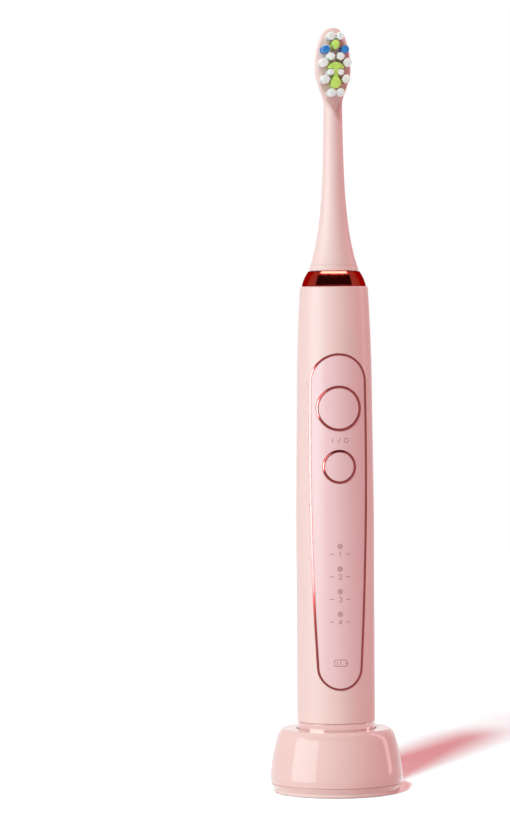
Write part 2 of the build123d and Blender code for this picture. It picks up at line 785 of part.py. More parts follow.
with BuildPart() as battery_cell:
    with Locations((0, battery_offset, battery_bottom)):
        Cylinder(battery_radius, battery_length, align=STAND)
    chamfer(battery_cell.edges().filter_by(GeomType.CIRCLE), battery_bevel)

with BuildPart() as battery_tabs:
    for floor in (battery_bottom - tab_thickness, battery_top):
        with BuildSketch(Plane.XY.offset(floor)):
            with Locations((0, board_back)):
                tab_length = battery_offset + tab_reach - board_back
                Rectangle(tab_width, tab_length, align=(Align.CENTER, Align.MIN))
        extrude(amount=tab_thickness)

with BuildPart() as main_board:
    with BuildSketch(Plane.XZ.offset(-board_back)):
        with Locations((0, (board_bottom + board_top) / 2)):
            Rectangle(board_width, board_top - board_bottom)
        with Locations(*screw_places):
            Circle(frame_screw_radius + board_hole_clearance, mode=Mode.SUBTRACT)
    extrude(amount=board_thickness)

# Components behind the board: sideways place, height, width, length, thickness
chips = [
    (0, battery_top - 9, 5.0, 5.0, 0.9),
    (0, battery_bottom + 8, 4.0, 4.0, 0.9),
    (3.5, battery_bottom + 20, 2.0, 3.2, 1.2),
    (-3.5, battery_bottom + 20, 2.0, 3.2, 1.2),
]
with BuildPart() as board_parts:
    for x, height, width, length, thickness in chips:
        with Locations((x, board_back + thickness / 2, height)):
            Box(width, thickness, length)

with BuildPart() as switch_housings:
    with BuildSketch(Plane.XZ.offset(-board_face)):
        with Locations((0, power_button_height), (0, mode_button_height)):
            Rectangle(switch_size, switch_size)
            Circle(plunger_radius + slip, mode=Mode.SUBTRACT)
    extrude(amount=switch_thickness)

with BuildPart() as indicator_leds:
    with BuildSketch(Plane.XZ.offset(-board_face)):
        with Locations(*[(0, height) for height in light_heights]):
            Rectangle(led_width, led_height)
    extrude(amount=led_thickness)

# ---------------------------------------------------------------- handle: drive motor and nose
with BuildPart() as motor_can:
    with Locations((0, 0, motor_bottom)):
        Cylinder(motor_radius, motor_length, align=STAND)
        Cylinder(
            motor_radius - motor_wall, motor_length - motor_front_wall, align=STAND, mode=Mode.SUBTRACT
        )
        Cylinder(bush_radius + slip, motor_length, align=STAND, mode=Mode.SUBTRACT)
    front_edges = motor_can.edges().filter_by_position(Axis.Z, motor_top, motor_top)
    chamfer(front_edges.sort_by(SortBy.RADIUS)[-1], motor_wall / 2)

with BuildPart() as motor_end_cap:
    with Locations((0, 0, motor_bottom - end_cap_thickness)):
        Cylinder(motor_radius, end_cap_thickness, align=STAND)
        Cylinder(motor_radius - motor_wall - slip, end_cap_thickness + end_cap_spigot, align=STAND)
    Cylinder(bush_radius + slip, TALL, mode=Mode.SUBTRACT)


def bush(floor):
    """Plain bearing bush that the shaft's journal swings in."""
    with BuildPart() as sleeve:
        with BuildSketch(Plane.XY.offset(floor)):
            Circle(bush_radius)
            Circle(journal_radius + slip, mode=Mode.SUBTRACT)
        extrude(amount=bush_length)
    return sleeve


motor_front_bush = bush(front_bush_floor)
motor_rear_bush = bush(rear_bush_floor)

with BuildPart() as stator_core:
    with BuildSketch(Plane.XY.offset(stator_middle - stator_length / 2)):
        Circle(motor_radius - motor_wall - slip)
        Circle(stator_inner_radius, mode=Mode.SUBTRACT)
        with PolarLocations((pole_radius + stator_inner_radius + pole_root) / 2, magnet_count):
            Rectangle(stator_inner_radius + pole_root - pole_radius, pole_width)
    extrude(amount=stator_length)

with BuildPart() as stator_coils:
    for quarter in range(magnet_count):
        turn = radians(360 / magnet_count * quarter)
        outward = Vector(cos(turn), sin(turn), 0)
        facing = Plane(origin=outward * coil_inner_radius, x_dir=(0, 0, 1), z_dir=outward)
        with BuildSketch(facing):
            with Locations((stator_middle, 0)):
                Rectangle(stator_length + coil_width - pole_width, coil_width)
                Rectangle(stator_length + 2 * slip, pole_width + 2 * slip, mode=Mode.SUBTRACT)
        extrude(amount=coil_depth)

with BuildPart() as motor_dampers:
    for floor in (motor_bottom + damper_inset, motor_top - damper_height - damper_inset):
        with BuildSketch(Plane.XY.offset(floor)):
            Circle(barrel_radius_at(floor + damper_height) - barrel_wall - slip)
            Circle(motor_radius + slip, mode=Mode.SUBTRACT)
        extrude(amount=damper_height)

with BuildPart() as nose_plug:
    with Locations((0, 0, nose_ledge - nose_flange_height)):
        Cylinder(barrel_radius_at(nose_ledge) - barrel_wall - slip, nose_flange_height, align=STAND)
    with Locations((0, 0, nose_ledge)):
        Cylinder(nose_bore_radius - slip, nose_bore_depth, align=STAND)
        Cylinder(nose_boss_radius, boss_top - nose_ledge, align=STAND)
    boss_edges = nose_plug.edges().filter_by_position(Axis.Z, boss_top, boss_top)
    chamfer(boss_edges, nose_boss_bevel)
    with BuildSketch(Plane.XY.offset(seal_middle - seal_height / 2 - slip)):
        Circle(nose_bore_radius + overrun)
        Circle(nose_bore_radius - seal_depth, mode=Mode.SUBTRACT)
    extrude(amount=seal_height + 2 * slip, mode=Mode.SUBTRACT)
    Cylinder(shaft_radius + shaft_room, TALL, mode=Mode.SUBTRACT)
    with BuildSketch(Plane.XY.offset(bush_room_top)):
        Circle(bush_radius + bush_end_gap)
    extrude(amount=nose_ledge - nose_flange_height - bush_room_top, mode=Mode.SUBTRACT)

with BuildPart() as nose_seal:
    with BuildSketch(Plane.XY.offset(seal_middle - seal_height / 2)):
        Circle(nose_bore_radius - slip / 2)
        Circle(nose_bore_radius - seal_depth + slip, mode=Mode.SUBTRACT)
    extrude(amount=seal_height)

with BuildPart() as nose_collar:
    with BuildSketch(Plane.XZ):
        with BuildLine():
            collar_top = barrel_top + collar_height
            collar_waist = (collar_foot_radius + collar_top_radius) / 2 + collar_bulge
            Line((nose_boss_radius + slip, barrel_top), (collar_foot_radius, barrel_top))
            ThreePointArc(
                (collar_foot_radius, barrel_top),
                (collar_waist, barrel_top + collar_height / 2),
                (collar_top_radius, collar_top),
            )
            Polyline(
                (collar_top_radius, collar_top),
                (nose_boss_radius + slip, collar_top),
                (nose_boss_radius + slip, barrel_top),
            )
        make_face()
    revolve(axis=Axis.Z)

with BuildPart() as shaft_seal:
    with BuildSketch(Plane.XZ):
        with BuildLine():
            Polyline(
                (shaft_radius + slip, boss_top),
                (shaft_seal_radius, boss_top),
                (shaft_radius + shaft_seal_lip, boss_top + shaft_seal_height),
                (shaft_radius + slip, boss_top + shaft_seal_height),
                close=True,
            )
        make_face()
    revolve(axis=Axis.Z)

with BuildPart() as drive_shaft:
    with Locations((0, 0, rear_bush_floor + journal_end)):
        Cylinder(journal_radius, bush_room_top - rear_bush_floor - journal_end, align=STAND)
    with Locations((0, 0, bush_room_top)):
        Cylinder(shaft_radius, shaft_top - bush_room_top, align=STAND)
    chamfer(drive_shaft.edges().filter_by_position(Axis.Z, shaft_top, shaft_top), shaft_bevel)
    with Locations((0, -shaft_flat, flat_bottom)):
        Box(
            2 * shaft_radius,
            shaft_radius,
            shaft_flat_length,
            align=(Align.CENTER, Align.MAX, Align.MIN),
            mode=Mode.SUBTRACT,
        )

with BuildPart() as rotor_yoke:
    with BuildSketch(Plane.XY.offset(stator_middle - magnet_length / 2)):
        Circle(yoke_radius)
        Circle(journal_radius + slip / 2, mode=Mode.SUBTRACT)
    extrude(amount=magnet_length)

with BuildPart() as rotor_magnets:
    with BuildSketch(Plane.XY.offset(stator_middle - magnet_length / 2)):
        Circle(magnet_radius)
        Circle(yoke_radius + slip / 2, mode=Mode.SUBTRACT)
        with PolarLocations(magnet_radius / 2, magnet_count, start_angle=180 / magnet_count):
            Rectangle(magnet_radius + overrun, magnet_gap, mode=Mode.SUBTRACT)
    extrude(amount=magnet_length)

# ---------------------------------------------------------------- brush head
# Sections of the paddle: distance below the tip, then half width and half depth as shares
paddle_sections = [
    (25.0, 0.555, 1.05),
    (22.4, 0.705, 1.03),
    (20.0, 0.83, 1.0),
    (17.5, 0.945, 1.0),
    (14.8, 1.0, 1.0),
    (11.4, 0.98, 0.98),
    (7.7, 0.91, 0.93),
    (4.3, 0.757, 0.82),
    (2.1, 0.6, 0.66),
    (0.7, 0.4, 0.44),
    (0, 0.18, 0.22),
]
with BuildPart() as head_body:
    for height in (paddle_start, paddle_start + paddle_foot):
        with BuildSketch(Plane.XY.offset(height)):
            Circle(neck_top_radius)
    for drop, width_share, depth_share in paddle_sections:
        with BuildSketch(Plane.XY.offset(head_top - drop)):
            Ellipse(paddle_half_width * width_share, paddle_half_depth * depth_share)
    loft()
    with BuildSketch(Plane.XZ):
        with BuildLine():
            shares = [(i / flare_steps) ** flare_crowding for i in range(flare_steps + 1)]
            rises = [neck_height * share for share in shares]
            profile = [(skirt_radius_at(rise), head_bottom + rise) for rise in rises]
            Spline(*profile)
            Polyline(
                profile[-1],
                (0, paddle_start),
                (0, cavity_top),
                (cavity_top_radius, cavity_top),
                (cavity_mouth_radius, head_bottom),
                profile[0],
            )
        make_face()
    revolve(axis=Axis.Z)
    with BuildSketch(Plane.YZ.offset(-2 * paddle_half_width)):
        with BuildLine():
            hollow_end = (-paddle_face - hollow_rise, face_bottom - hollow_length)
            TangentArc((-paddle_face, face_bottom), hollow_end, tangent=(0, -1))
            Polyline(
                hollow_end,
                (hollow_end[0], head_top + overrun),
                (-paddle_face, head_top + overrun),
                (-paddle_face, face_bottom),
            )
        make_face()
    extrude(amount=4 * paddle_half_width, mode=Mode.SUBTRACT)
    with Locations((0, 0, cavity_top)):
        Cylinder(socket_radius + slip, socket_length + slip, align=STAND, mode=Mode.SUBTRACT)
    with BuildSketch(Plane.XZ):
        with BuildLine():
            band = [skirt_radius_at(rise) for rise in (0, head_ring_height)]
            Polyline(
                (band[0] - head_ring_thickness - slip, head_bottom),
                (band[0] + overrun, head_bottom),
                (band[1] + overrun, head_bottom + head_ring_height + slip),
                (band[1] - head_ring_thickness - slip, head_bottom + head_ring_height + slip),
                close=True,
            )
        make_face()
    revolve(axis=Axis.Z, mode=Mode.SUBTRACT)
    with BuildSketch(Plane.XZ.offset(paddle_face)):
        for x, drop, rings in white_tufts + green_tufts + blue_tufts:
            with Locations((x, head_top - drop)):
                Circle(tuft_radius(rings) + slip)
    extrude(amount=-tuft_depth, mode=Mode.SUBTRACT)

with BuildPart() as head_ring:
    with BuildSketch(Plane.XZ):
        with BuildLine():
            Polyline(
                (band[0] - head_ring_thickness, head_bottom),
                (band[0], head_bottom),
                (band[1], head_bottom + head_ring_height),
                (band[1] - head_ring_thickness, head_bottom + head_ring_height),
                close=True,
            )
        make_face()
    revolve(axis=Axis.Z)

with BuildPart() as shaft_socket:
    with Locations((0, 0, cavity_top - socket_flange_height)):
        Cylinder(socket_flange_radius, socket_flange_height, align=STAND)
        Cylinder(socket_radius, socket_flange_height + socket_length, align=STAND)
    with BuildSketch(Plane.XY.offset(cavity_top - socket_flange_height)):
        Circle(shaft_radius + slip)
    extrude(amount=flat_bottom - cavity_top + socket_flange_height, mode=Mode.SUBTRACT)
    with BuildSketch(Plane.XY.offset(flat_bottom)):
        Circle(shaft_radius + slip)
        with Locations((0, -shaft_flat - slip)):
            Rectangle(TALL, TALL, align=(Align.CENTER, Align.MIN), mode=Mode.INTERSECT)
    extrude(amount=cavity_top + socket_length - socket_end_wall - flat_bottom, mode=Mode.SUBTRACT)
    with BuildSketch(Plane.XY.offset(clip_bottom - slip)):
        Circle(shaft_radius + slip + clip_thickness + slip)
    extrude(amount=clip_height + 2 * slip, mode=Mode.SUBTRACT)

with BuildPart() as socket_clip:
    with BuildSketch(Plane.XY.offset(clip_bottom)):
        Circle(shaft_radius + slip + clip_thickness)
        Circle(shaft_radius + slip, mode=Mode.SUBTRACT)
        with Locations((0, shaft_radius)):
            Rectangle(shaft_radius, 2 * shaft_radius, mode=Mode.SUBTRACT)
    extrude(amount=clip_height)


def bristles(tufts):
    """Tufts of upright strands, each fused to the plug that holds it in the brush head."""
    with BuildPart() as brush:
        with BuildSketch(Plane.XZ.offset(paddle_face)):
            for x, drop, rings in tufts:
                with Locations((x, head_top - drop)):
                    Circle(tuft_radius(rings))
        extrude(amount=-tuft_depth)
        with BuildSketch(Plane.XZ.offset(paddle_face)):
            for x, drop, rings in tufts:
                for ring in range(rings + 1):
                    with Locations((x, head_top - drop)):
                        with PolarLocations(ring * strand_pitch, max(1, 6 * ring)):
                            Triangle(a=strand_side, b=strand_side, c=strand_side)
        extrude(amount=strand_length)
    return brush


white_bristles = bristles(white_tufts)
green_bristles = bristles(green_tufts)
blue_bristles = bristles(blue_tufts)

# ---------------------------------------------------------------- labels and files
pieces = {
    "charger_housing": charger_housing,
    "charger_base_plate": charger_base_plate,
    "charger_screws": charger_screws,
    "foot_ring": foot_ring,
    "cord_gland": cord_gland,
    "charger_board": charger_board,
    "charger_board_parts": charger_board_parts,
    "primary_bobbin": primary_bobbin,
    "primary_coil": primary_coil,
    "primary_core": primary_core,
    "handle_shell": handle_shell,
    "front_panel": front_panel,
    "panel_trim": panel_trim,
    "power_button_ring": power_button_ring,
    "mode_button_ring": mode_button_ring,
    "power_button_seal": power_button_seal,
    "mode_button_seal": mode_button_seal,
    "light_guide": light_guide,
    "end_cap": end_cap,
    "end_seal": end_seal,
    "end_ring": end_ring,
    "receiver_bobbin": receiver_bobbin,
    "receiver_coil": receiver_coil,
    "inner_frame": inner_frame,
    "frame_screws": frame_screws,
    "battery_cell": battery_cell,
    "battery_tabs": battery_tabs,
    "main_board": main_board,
    "board_parts": board_parts,
    "switch_housings": switch_housings,
    "indicator_leds": indicator_leds,
    "motor_can": motor_can,
    "motor_end_cap": motor_end_cap,
    "motor_front_bush": motor_front_bush,
    "motor_rear_bush": motor_rear_bush,
    "stator_core": stator_core,
    "stator_coils": stator_coils,
    "motor_dampers": motor_dampers,
    "nose_plug": nose_plug,
    "nose_seal": nose_seal,
    "nose_collar": nose_collar,
    "shaft_seal": shaft_seal,
    "power_button_cap": power_button_cap,
    "power_switch_plunger": power_switch_plunger,
    "mode_button_cap": mode_button_cap,
    "mode_switch_plunger": mode_switch_plunger,
    "drive_shaft": drive_shaft,
    "rotor_yoke": rotor_yoke,
    "rotor_magnets": rotor_magnets,
    "head_body": head_body,
    "head_ring": head_ring,
    "shaft_socket": shaft_socket,
    "socket_clip": socket_clip,
    "white_bristles": white_bristles,
    "green_bristles": green_bristles,
    "blue_bristles": blue_bristles,
}
for name, piece in pieces.items():
    piece.part.label = name
    export_step(piece.part, f"parts/{name}.step")
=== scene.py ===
"""Looks of the electric toothbrush on its charger: finishes, filaments, rings, marks and studio."""

import math
import random

import bpy
from mathutils import Matrix, Vector
from mathutils.bvhtree import BVHTree


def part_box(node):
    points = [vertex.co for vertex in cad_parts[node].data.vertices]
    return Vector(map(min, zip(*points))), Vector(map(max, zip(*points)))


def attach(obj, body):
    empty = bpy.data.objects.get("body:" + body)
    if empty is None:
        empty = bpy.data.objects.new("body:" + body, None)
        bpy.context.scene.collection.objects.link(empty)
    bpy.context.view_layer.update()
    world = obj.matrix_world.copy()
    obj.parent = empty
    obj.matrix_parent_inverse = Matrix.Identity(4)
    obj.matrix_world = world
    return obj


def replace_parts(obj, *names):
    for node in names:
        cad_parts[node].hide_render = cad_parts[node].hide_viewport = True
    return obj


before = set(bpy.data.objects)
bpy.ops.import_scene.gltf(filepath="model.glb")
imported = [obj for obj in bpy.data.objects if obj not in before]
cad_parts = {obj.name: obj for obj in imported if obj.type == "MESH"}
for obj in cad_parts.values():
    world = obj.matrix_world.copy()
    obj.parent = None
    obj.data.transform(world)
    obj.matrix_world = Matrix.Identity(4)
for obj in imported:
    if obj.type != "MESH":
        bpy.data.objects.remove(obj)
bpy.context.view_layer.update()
MM = 0.001

# ---------------------------------------------------------------- materials
noise_low, noise_high = 0.3, 0.7  # most values of a noise texture lie between these
bevel_samples = 8


class Shader:
    """A material with a Principled shader, and short calls for the nodes that feed it."""

    def __init__(self, name, **sockets):
        self.material = bpy.data.materials.new(name)
        self.material.use_nodes = True
        self.nodes = self.material.node_tree.nodes
        self.links = self.material.node_tree.links
        self.principled = self.nodes["Principled BSDF"]
        for socket, value in sockets.items():
            self.set_socket(socket.replace("_", " "), value)
        self.place = self.nodes.new("ShaderNodeTexCoord").outputs["Object"]

    def set_socket(self, socket, value):
        """Sets a socket of the shader by its name, whatever its capitals."""
        for given in self.principled.inputs:
            if given.name.lower() == socket.lower():
                given.default_value = value
                return
        raise KeyError(socket)

    def noise(self, size, detail=3.0, stretch=(1, 1, 1)):
        """Noise whose patches are about as large as size, in metres."""
        mapping = self.nodes.new("ShaderNodeMapping")
        mapping.inputs["Scale"].default_value = stretch
        self.links.new(self.place, mapping.inputs["Vector"])
        noise = self.nodes.new("ShaderNodeTexNoise")
        noise.inputs["Scale"].default_value = 1 / size
        noise.inputs["Detail"].default_value = detail
        self.links.new(mapping.outputs["Vector"], noise.inputs["Vector"])
        return noise.outputs["Fac"]

    def colour(self, value, first, second):
        """Base colour that goes from the first to the second as the noise rises."""
        ramp = self.nodes.new("ShaderNodeValToRGB")
        ramp.color_ramp.elements[0].position = noise_low
        ramp.color_ramp.elements[0].color = (*first, 1)
        ramp.color_ramp.elements[1].position = noise_high
        ramp.color_ramp.elements[1].color = (*second, 1)
        self.links.new(value, ramp.inputs["Fac"])
        self.links.new(ramp.outputs["Color"], self.principled.inputs["Base Color"])

    def roughness(self, value, low, high):
        """Roughness that goes from low to high as the noise rises."""
        mapped = self.nodes.new("ShaderNodeMapRange")
        mapped.inputs["From Min"].default_value = noise_low
        mapped.inputs["From Max"].default_value = noise_high
        mapped.inputs["To Min"].default_value = low
        mapped.inputs["To Max"].default_value = high
        self.links.new(value, mapped.inputs["Value"])
        self.links.new(mapped.outputs["Result"], self.principled.inputs["Roughness"])

    def bump(self, value, depth):
        """Relief of a depth in metres."""
        self.relief = self.nodes.new("ShaderNodeBump")
        self.relief.inputs["Strength"].default_value = 1.0
        self.relief.inputs["Distance"].default_value = depth
        self.links.new(value, self.relief.inputs["Height"])
        self.links.new(self.relief.outputs["Normal"], self.principled.inputs["Normal"])

    def soften_edges(self, radius):
        """Shades the edges as if they were rounded to a radius, under the relief."""
        bevel = self.nodes.new("ShaderNodeBevel")
        bevel.samples = bevel_samples
        bevel.inputs["Radius"].default_value = radius
        self.links.new(bevel.outputs["Normal"], self.relief.inputs["Normal"])


def shade(colour, factor):
    """The colour, lighter or darker by a factor."""
    return tuple(min(1.0, channel * factor) for channel in colour)


def moulded(name, colour, rough, grain=0.25 * MM, relief=0.002 * MM, **sockets):
    """Moulded plastic or rubber: faint mottling, a wandering sheen and a fine moulded grain."""
    mottle, darkest, lightest = 14 * MM, 0.985, 1.01
    sheen, glossiest, dullest = 3 * MM, 0.92, 1.08
    made = Shader(name, **sockets)
    made.colour(made.noise(mottle), shade(colour, darkest), shade(colour, lightest))
    made.roughness(made.noise(sheen), rough * glossiest, rough * dullest)
    made.bump(made.noise(grain, detail=2.0), relief)
    return made.material


def metal(name, colour, rough, stretch=(1, 1, 1), relief=0.001 * MM, edge=None, **sockets):
    """Metal with fine tool marks along the axis of the smallest stretch, and edges rounded to edge."""
    mottle, darkest, lightest = 4 * MM, 0.94, 1.05
    sheen, glossiest, dullest = 0.6 * MM, 0.8, 1.25
    tool_marks = 0.3 * MM
    made = Shader(name, metallic=1.0, **sockets)
    made.colour(made.noise(mottle), shade(colour, darkest), shade(colour, lightest))
    made.roughness(made.noise(sheen, stretch=stretch), rough * glossiest, rough * dullest)
    made.bump(made.noise(tool_marks, stretch=stretch), relief)
    if edge:
        made.soften_edges(edge)
    return made.material


PINK = (0.86, 0.60, 0.565)
BASE_PINK = (0.84, 0.54, 0.505)
PANEL_PINK = (0.86, 0.56, 0.565)
DEEP_PINK = (0.80, 0.46, 0.43)
RUBBER_PINK = (0.85, 0.60, 0.57)
CLEAR_PINK = (0.60, 0.31, 0.33)
PRINT = (0.42, 0.21, 0.22)
WHITE_NYLON = (0.98, 0.97, 0.93)
GREEN_NYLON = (0.68, 0.88, 0.20)
BLUE_NYLON = (0.03, 0.30, 0.74)
DARK_RUBBER = (0.25, 0.25, 0.26)
FERRITE = (0.10, 0.10, 0.11)
INNER_GREY = (0.80, 0.80, 0.78)
BOARD_GREEN = (0.03, 0.22, 0.10)
BLACK = (0.05, 0.05, 0.05)
SLEEVE_BLUE = (0.10, 0.35, 0.55)
ROSE = (0.27, 0.028, 0.027)
COPPER = (0.30, 0.026, 0.018)
STEEL = (0.62, 0.62, 0.64)
BRASS = (0.72, 0.55, 0.28)
WIRE = (0.70, 0.32, 0.16)

mouldings = {
    "satin_shell": dict(colour=PINK, rough=0.34),
    "gloss_shell": dict(
        colour=BASE_PINK, rough=0.2, relief=0.0006 * MM,
        specular_ior_level=0.1, coat_weight=0.7, coat_roughness=0.04,
    ),
    "gloss_panel": dict(colour=PANEL_PINK, rough=0.24, relief=0.0005 * MM),
    "satin_button": dict(colour=PANEL_PINK, rough=0.3),
    "pearl_ring": dict(
        colour=DEEP_PINK, rough=0.12, relief=0.0005 * MM,
        metallic=0.35, coat_weight=1.0, coat_roughness=0.03,
    ),
    "white_nylon": dict(colour=WHITE_NYLON, rough=0.34, subsurface_weight=0.2, subsurface_scale=1 * MM),
    "green_nylon": dict(colour=GREEN_NYLON, rough=0.38, subsurface_weight=0.4, subsurface_scale=1 * MM),
    "blue_nylon": dict(colour=BLUE_NYLON, rough=0.38, subsurface_weight=0.1, subsurface_scale=1 * MM),
    "seal_rubber": dict(colour=DARK_RUBBER, rough=0.6, relief=0.006 * MM),
    "foot_rubber": dict(colour=RUBBER_PINK, rough=0.62, relief=0.006 * MM),
    "ferrite": dict(colour=FERRITE, rough=0.55, relief=0.008 * MM),
    "inner_plastic": dict(colour=INNER_GREY, rough=0.42),
    "clear_plastic": dict(colour=CLEAR_PINK, rough=0.25, coat_weight=0.5),
    "board_green": dict(colour=BOARD_GREEN, rough=0.35, grain=1.2 * MM, relief=0.01 * MM),
    "part_black": dict(colour=BLACK, rough=0.45),
    "battery_sleeve": dict(colour=SLEEVE_BLUE, rough=0.3, coat_weight=0.4),
    "grey_print": dict(colour=PRINT, rough=0.45),
}
# The specular tints redden the grazing edge of the polished metals
metals = {
    "rose_gold": dict(
        colour=ROSE, rough=0.14, relief=0.0003 * MM, edge=0.15 * MM,
        coat_weight=0.5, coat_roughness=0.05, specular_tint=(0.7, 0.2, 0.2, 1),
    ),
    "dark_copper": dict(
        colour=COPPER, rough=0.1, stretch=(1, 1, 0.1), relief=0.0003 * MM,
        specular_tint=(0.6, 0.12, 0.1, 1),
    ),
    "steel": dict(colour=STEEL, rough=0.25, stretch=(1, 1, 0.15)),
    "brass": dict(colour=BRASS, rough=0.35, relief=0.004 * MM),
    "copper_wire": dict(colour=WIRE, rough=0.28, stretch=(0.2, 0.2, 1), relief=0.02 * MM),
}
finishes = {name: moulded(name, **look) for name, look in mouldings.items()}
finishes.update({name: metal(name, **look) for name, look in metals.items()})

# Slots whose finish has another name, and nodes that differ from the rest of their slot
slot_finish = {"shell_pink": "satin_shell", "panel_pink": "gloss_panel", "button_pink": "satin_button"}
node_finish = {
    "charger_housing": "gloss_shell",
    "charger_base_plate": "gloss_shell",
    "end_ring": "pearl_ring",
    "nose_collar": "dark_copper",
}
for node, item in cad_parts.items():
    for place in item.material_slots:
        slot = place.material.name
        place.material = finishes[node_finish.get(node, slot_finish.get(slot, slot))]

# ---------------------------------------------------------------- meshes
outside = 0.05  # a distance from the axis that is clear of every piece


def mesh_piece(name, vertices, faces, finish, slot, body, smooth=True):
    """A mesh piece in the shared frame that rides on a body."""
    mesh = bpy.data.meshes.new(name)
    mesh.from_pydata(vertices, [], faces)
    mesh.materials.append(finishes[finish])
    mesh.validate()
    if smooth:
        mesh.shade_smooth()
    piece = bpy.data.objects.new(name, mesh)
    bpy.context.scene.collection.objects.link(piece)
    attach(piece, body)
    return piece


def surface_of(node):
    """A search tree of a CAD node's faces."""
    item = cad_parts[node]
    polygons = [tuple(p.vertices) for p in item.data.polygons]
    return BVHTree.FromPolygons([v.co.copy() for v in item.data.vertices], polygons)


def front_of(surface, x, z):
    """The point of a surface that is met first from the front."""
    return surface.ray_cast(Vector((x, -outside, z)), Vector((0, 1, 0)))[0]


def sheet_faces(rows, columns):
    """Faces of a sheet whose points are listed row by row."""
    faces = []
    for row in range(rows):
        for column in range(columns):
            a = row * (columns + 1) + column
            faces.append((a, a + 1, a + columns + 2, a + columns + 1))
    return faces


def loop_faces(turns, ring):
    """Faces of a closed ring of turns steps, each a closed profile of ring points."""
    faces = []
    for i in range(turns):
        a, b = i * ring, (i + 1) % turns * ring
        for j in range(ring):
            k = (j + 1) % ring
            faces.append((a + j, b + j, b + k, a + k))
    return faces


# ---------------------------------------------------------------- bristles
head_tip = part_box("head_body")[1].z
tuft_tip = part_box("white_bristles")[0].y
paddle_face = -1.2 * MM
filament_radius = 0.12 * MM
filament_pitch = 0.232 * MM
filament_sides = 6
filament_bend = 0.55  # share of a filament's length where it sags most
filament_sag = 0.02 * MM
filament_end = ((0.35, 1.0), (0.08, 0.75))  # rings behind the tip: distance, radius, in filament radii
row_squeeze = 0.866  # distance between close-packed rows, as a share of the pitch
root_depth = 0.4 * MM
tuft_spread = 0.18  # how far the tips fan out, as a share of their distance from the tuft's middle
tip_wander = 0.05 * MM
length_wander = 0.12 * MM
tip_margin = 0.02 * MM  # from the CAD tufts' ends to the longest filament
crown = 0.35 * MM  # how much shorter filaments are at the rim of a tuft
coloured_drop = 0.1 * MM  # how much shorter coloured filaments are
pocket_sink = 0.15 * MM  # from the paddle's face down to a tuft's plug
pocket_depth = 1.5 * MM
plug_sides = 24

chance = random.Random(11)


def grid_spots(inside, left, right, low, high):
    """Places on a close-packed grid that lie inside a shape, as (x, z)."""
    spots = []
    rows = int((high - low) / (filament_pitch * row_squeeze)) + 1
    for row in range(rows):
        z = low + row * filament_pitch * row_squeeze
        columns = int((right - left) / filament_pitch) + 1
        for column in range(columns):
            x = left + (column + 0.5 * (row % 2)) * filament_pitch
            if inside(x, z):
                spots.append((x, z))
    return spots


def add_filament(vertices, faces, root, tip):
    """A rod with a flattened, rounded end between two points."""
    along = (tip - root).normalized()
    side = along.cross(Vector((0, 0, 1))).normalized()
    up = side.cross(along)
    start = len(vertices)
    bend = root.lerp(tip, filament_bend) + Vector((0, 0, -filament_sag))
    rings = [(root, 1.0), (bend, 1.0)]
    rings += [(tip - along * filament_radius * back, share) for back, share in filament_end]
    for centre, share in rings:
        for i in range(filament_sides):
            angle = 2 * math.pi * i / filament_sides
            offset = side * math.cos(angle) + up * math.sin(angle)
            vertices.append(centre + offset * filament_radius * share)
    vertices.append(tip)
    last = len(vertices) - 1
    for ring in range(len(rings) - 1):
        for i in range(filament_sides):
            a = start + ring * filament_sides + i
            b = start + ring * filament_sides + (i + 1) % filament_sides
            faces.append((a, b, b + filament_sides, a + filament_sides))
    for i in range(filament_sides):
        a = last - filament_sides + i
        b = last - filament_sides + (i + 1) % filament_sides
        faces.append((a, b, last))


def add_plug(vertices, faces, centre, radius):
    """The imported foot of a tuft, just below the paddle's face."""
    start = len(vertices)
    for y in (paddle_face + pocket_depth, paddle_face + pocket_sink):
        for i in range(plug_sides):
            angle = 2 * math.pi * i / plug_sides
            x = centre[0] + radius * math.cos(angle)
            z = centre[1] + radius * math.sin(angle)
            vertices.append(Vector((x, y, z)))
    for i in range(plug_sides):
        j = (i + 1) % plug_sides
        faces.append((start + i, start + j, start + plug_sides + j, start + plug_sides + i))
    faces.append(tuple(start + plug_sides + i for i in range(plug_sides)))


def grow(vertices, faces, spots, centre, reach, shorter):
    """Stands filaments on a tuft's spots, crowned a little towards its middle."""
    for x, z in spots:
        away = math.hypot(x - centre[0], z - centre[1]) / reach
        root = Vector((x, paddle_face + root_depth, z))
        fall = crown * away**2 + shorter
        tip_x = x + (x - centre[0]) * tuft_spread + chance.uniform(-1, 1) * tip_wander
        tip_z = z + (z - centre[1]) * tuft_spread + chance.uniform(-1, 1) * tip_wander
        tip_y = tuft_tip + tip_margin + fall + chance.random() * length_wander
        add_filament(vertices, faces, root, Vector((tip_x, tip_y, tip_z)))


def add_tuft(vertices, faces, tuft, tall=1.0, shorter=0.0, widest_plug=math.inf):
    """A round or taller tuft with its plug, from (sideways, below the head's tip, radius) in mm."""
    across, drop, radius = tuft
    cx, cz = across * MM, head_tip - drop * MM
    reach = radius * MM

    def inside(x, z):
        return math.hypot(x - cx, (z - cz) / tall) < reach - filament_radius

    high = reach * tall
    spots = grid_spots(inside, cx - reach, cx + reach, cz - high, cz + high)
    grow(vertices, faces, spots, (cx, cz), reach, shorter)
    add_plug(vertices, faces, (cx, cz), min(reach, widest_plug))


# Tufts as (sideways, below the head's tip, radius) in mm, the paired ones on both sides
white_pairs = (
    (1.6, 3.2, 1.3),
    (1.7, 10.3, 1.25),
    (4.15, 12.5, 1.4),
    (1.7, 15.8, 1.05),
    (3.65, 18.3, 1.4),
    (1.5, 23.0, 1.35),
)
blue_pair = (3.4, 7.8, 1.2)
green_spots = (((0, 6.2, 1.15), 1.35), ((0, 19.5, 1.6), 1.1))  # each with its height over its width
widest_green_plug = 1.3 * MM

